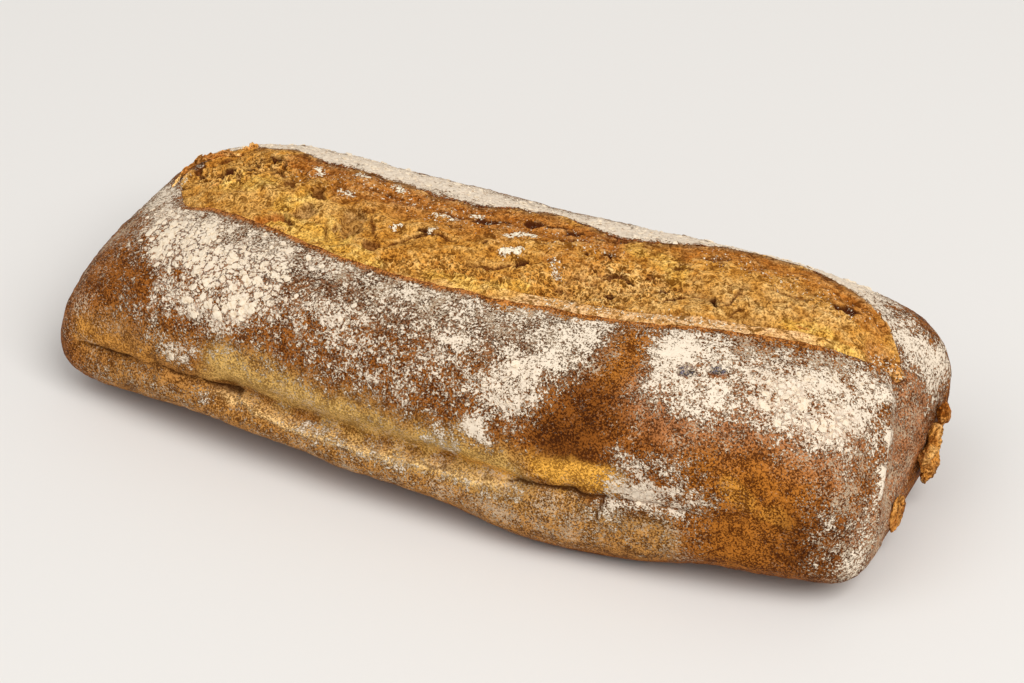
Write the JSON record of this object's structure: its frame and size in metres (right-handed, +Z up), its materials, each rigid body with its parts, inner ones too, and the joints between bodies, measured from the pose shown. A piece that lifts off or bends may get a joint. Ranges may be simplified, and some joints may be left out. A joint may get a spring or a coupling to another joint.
{
  "type": "part-baked ciabatta loaf",
  "caption": "Long floured bread loaf with a browned crust, torn open along its top, resting on its flat underside.",
  "frame": {"origin": "middle of the loaf's box, at the level of its flat underside", "axes": "+X along the loaf, to the right-hand end as seen from its front side; -Y towards the front side with the low creases; +Z up"},
  "size_m": [0.3044, 0.1258, 0.0803],
  "materials": {
    "crust": "dry, matt, chestnut-brown baked crust under a dusting of flour",
    "crumb": "rough golden torn crumb, toasted brown on its ridges",
    "flour": "matt cream flour in flakes and fine dust"
  },
  "bodies": {
    "root": {"loaf": "crust"}
  },
  "joints": []
}
